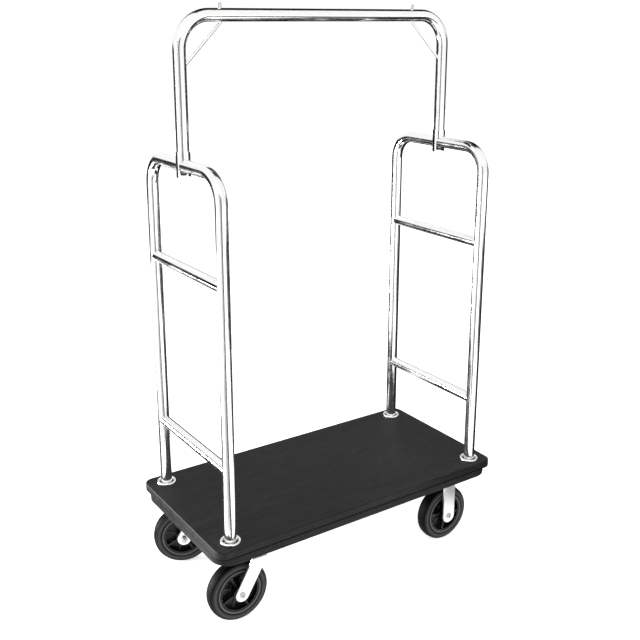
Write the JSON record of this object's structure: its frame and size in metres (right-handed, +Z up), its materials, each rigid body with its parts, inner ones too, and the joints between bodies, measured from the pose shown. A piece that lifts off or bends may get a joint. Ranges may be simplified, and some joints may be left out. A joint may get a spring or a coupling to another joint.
{
  "type": "hotel luggage cart",
  "caption": "Hotel luggage cart: black layered deck on swivel and rigid rubber-tyred casters, polished tube end frames with rungs, and a clamped garment arch with pegs.",
  "frame": {"origin": "on the floor under the middle of the deck", "axes": "+X along the deck from the swivel casters to the rigid casters, +Y across it from front to back, +Z up"},
  "size_m": [1.116, 0.558, 1.89],
  "materials": {
    "deck_laminate": "black wood-grain laminate, satin",
    "bumper_laminate": "black wood-grain laminate, satin, sealed edge",
    "polished_tube": "polished stainless steel",
    "polished_rod": "polished stainless steel rod",
    "polished_clamp": "polished stainless steel",
    "polished_flange": "bright chrome",
    "bright_zinc_plate": "bright zinc plate",
    "zinc_fastener": "zinc plate",
    "dark_fastener": "blackened steel",
    "inner_steel": "plain machined steel",
    "hub_plastic": "moulded black nylon",
    "tyre_rubber": "moulded black rubber"
  },
  "bodies": {
    "cart": {"deck_board": "deck_laminate", "deck_bumper_board": "bumper_laminate", "deck_screws": "zinc_fastener", "post_plugs": "inner_steel", "post_washers": "zinc_fastener", "post_bolts": "zinc_fastener", "garment_arch": "polished_tube", "left_peg_rod": "polished_rod", "right_peg_rod": "polished_rod", "arch_plugs": "inner_steel", "clamp_washers": "zinc_fastener", "clamp_bolts": "dark_fastener", "caster_tee_nuts": "zinc_fastener", "caster_bolts": "zinc_fastener", "left_end_frame": "polished_tube", "left_upper_rung": "polished_tube", "left_lower_rung": "polished_tube", "left_arch_clamp": "polished_clamp", "front_left_post_flange": "polished_flange", "back_left_post_flange": "polished_flange", "right_end_frame": "polished_tube", "right_upper_rung": "polished_tube", "right_lower_rung": "polished_tube", "right_arch_clamp": "polished_clamp", "front_right_post_flange": "polished_flange", "back_right_post_flange": "polished_flange", "front_left_top_plate": "bright_zinc_plate", "back_left_top_plate": "bright_zinc_plate", "front_right_top_plate": "bright_zinc_plate", "front_right_fork": "bright_zinc_plate", "front_right_axle_bolt": "zinc_fastener", "front_right_axle_nut": "zinc_fastener", "front_right_wheel_bush": "inner_steel", "back_right_top_plate": "bright_zinc_plate", "back_right_fork": "bright_zinc_plate", "back_right_axle_bolt": "zinc_fastener", "back_right_axle_nut": "zinc_fastener", "back_right_wheel_bush": "inner_steel", "front_left_race_balls": "inner_steel", "front_left_kingpin": "inner_steel", "back_left_race_balls": "inner_steel", "back_left_kingpin": "inner_steel"},
    "front_left_caster": {"front_left_fork": "bright_zinc_plate", "front_left_axle_bolt": "zinc_fastener", "front_left_axle_nut": "zinc_fastener", "front_left_wheel_bush": "inner_steel"},
    "back_left_caster": {"back_left_fork": "bright_zinc_plate", "back_left_axle_bolt": "zinc_fastener", "back_left_axle_nut": "zinc_fastener", "back_left_wheel_bush": "inner_steel"},
    "front_left_wheel": {"front_left_wheel_hub": "hub_plastic", "front_left_tyre": "tyre_rubber"},
    "back_left_wheel": {"back_left_wheel_hub": "hub_plastic", "back_left_tyre": "tyre_rubber"},
    "front_right_wheel": {"front_right_wheel_hub": "hub_plastic", "front_right_tyre": "tyre_rubber"},
    "back_right_wheel": {"back_right_wheel_hub": "hub_plastic", "back_right_tyre": "tyre_rubber"}
  },
  "joints": [
    {"name": "front_left_swivel", "type": "hinge", "parent": "cart", "child": "front_left_caster", "pos_m": [-0.3926, -0.1875, 0.219], "axis": [0, 0, 1], "continuous": true},
    {"name": "front_left_wheel_spin", "type": "hinge", "parent": "front_left_caster", "child": "front_left_wheel", "pos_m": [-0.45154, -0.18472, 0.1016], "axis": [0.0471, 0.9989, 0], "continuous": true},
    {"name": "back_left_swivel", "type": "hinge", "parent": "cart", "child": "back_left_caster", "pos_m": [-0.3926, 0.1875, 0.219], "axis": [0, 0, 1], "continuous": true},
    {"name": "back_left_wheel_spin", "type": "hinge", "parent": "back_left_caster", "child": "back_left_wheel", "pos_m": [-0.44786, 0.20816, 0.1016], "axis": [0.3502, 0.9367, 0], "continuous": true},
    {"name": "front_right_wheel_spin", "type": "hinge", "parent": "cart", "child": "front_right_wheel", "pos_m": [0.4047, -0.1875, 0.1016], "axis": [0, 1, 0], "continuous": true},
    {"name": "back_right_wheel_spin", "type": "hinge", "parent": "cart", "child": "back_right_wheel", "pos_m": [0.4047, 0.1875, 0.1016], "axis": [0, 1, 0], "continuous": true}
  ]
}
